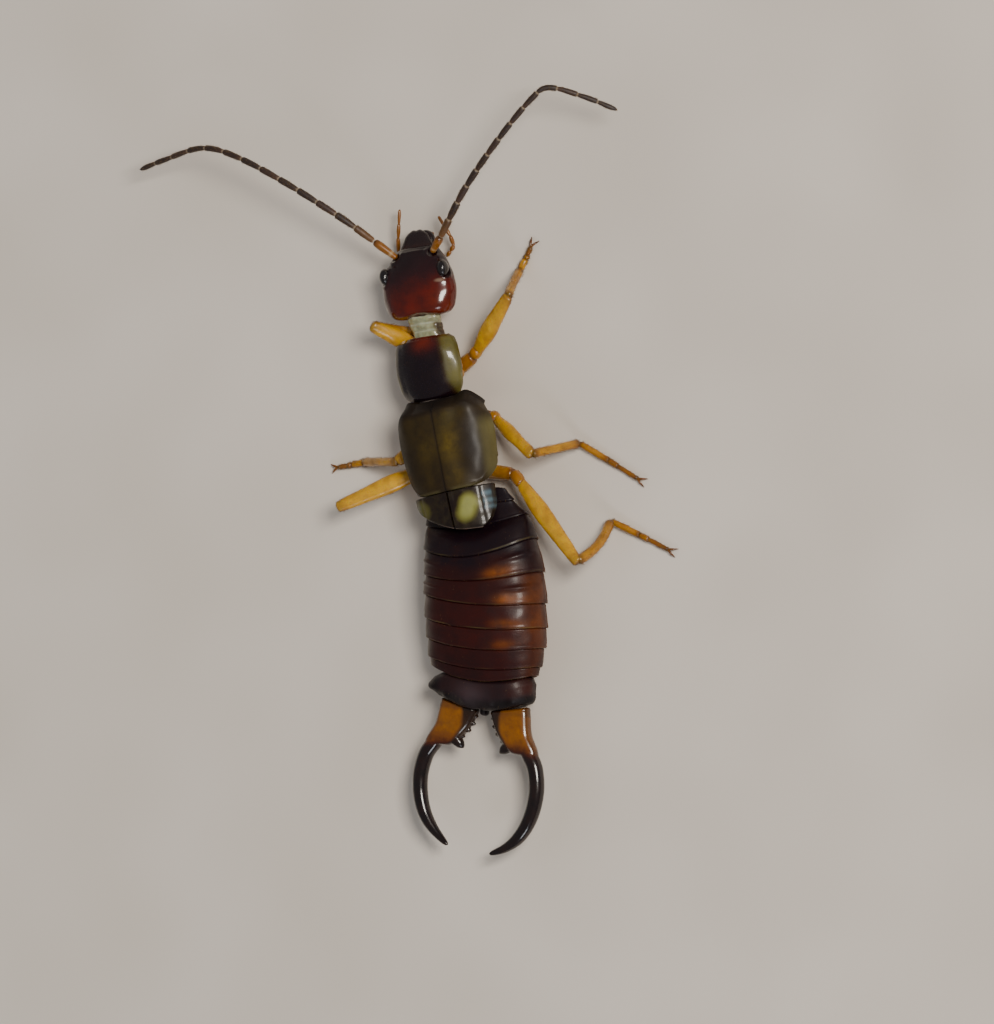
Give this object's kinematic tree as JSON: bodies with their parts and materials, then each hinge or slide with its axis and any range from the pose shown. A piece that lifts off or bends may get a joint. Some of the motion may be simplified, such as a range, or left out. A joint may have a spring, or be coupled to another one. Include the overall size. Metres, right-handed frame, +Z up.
{
  "type": "earwig",
  "caption": "Still life-size model of an adult male European earwig standing with spread feelers and open curved pincers.",
  "frame": {"origin": "on the ground, under the middle of the animal's plan, feelers and pincers included", "axes": "+Y towards the head, +X to the animal's right, +Z up"},
  "size_m": [0.0172, 0.0228, 0.0027],
  "materials": {
    "head_shell": "glossy dark red-brown horn-like shell",
    "eye": "glossy black, finely faceted",
    "mouthparts": "glossy near-black brown shell",
    "amber_limb": "translucent amber-yellow shell, brown at the joints",
    "feeler": "finely haired dark brown joints with pale rings",
    "neck_skin": "pale soft folded skin with a wet sheen",
    "shield": "glossy near-black disc with pale yellow margins",
    "thorax_shell": "semi-gloss dark brown shell",
    "wing_case": "semi-gloss olive-brown leathery shell",
    "wing_tip": "yellow-green patch with dark brown borders",
    "abdomen_shell": "glossy dark red-brown plates, near-black in front",
    "last_plate": "glossy dark grey-brown plate",
    "pincer": "polished amber base darkening to near-black arms"
  },
  "bodies": {
    "root": {"head": "head_shell", "eye_left": "eye", "eye_right": "eye", "labrum": "mouthparts", "mandible_left": "mouthparts", "mandible_right": "mouthparts", "labium": "amber_limb", "palp_left": "amber_limb", "palp_right": "amber_limb", "scape_left": "amber_limb", "scape_right": "amber_limb", "feeler_left": "feeler", "feeler_right": "feeler", "neck": "neck_skin", "prothorax": "amber_limb", "pronotum": "shield", "thorax": "thorax_shell", "wing_case_left": "wing_case", "wing_case_right": "wing_case", "wing_tip_left": "wing_tip", "wing_tip_right": "wing_tip", "abdomen": "abdomen_shell", "last_tergite": "last_plate", "pygidium": "last_plate", "pincer_left": "pincer", "pincer_right": "pincer", "fore_leg_left": "amber_limb", "fore_leg_right": "amber_limb", "mid_leg_left": "amber_limb", "mid_leg_right": "amber_limb", "hind_leg_left": "amber_limb", "hind_leg_right": "amber_limb"}
  },
  "joints": []
}
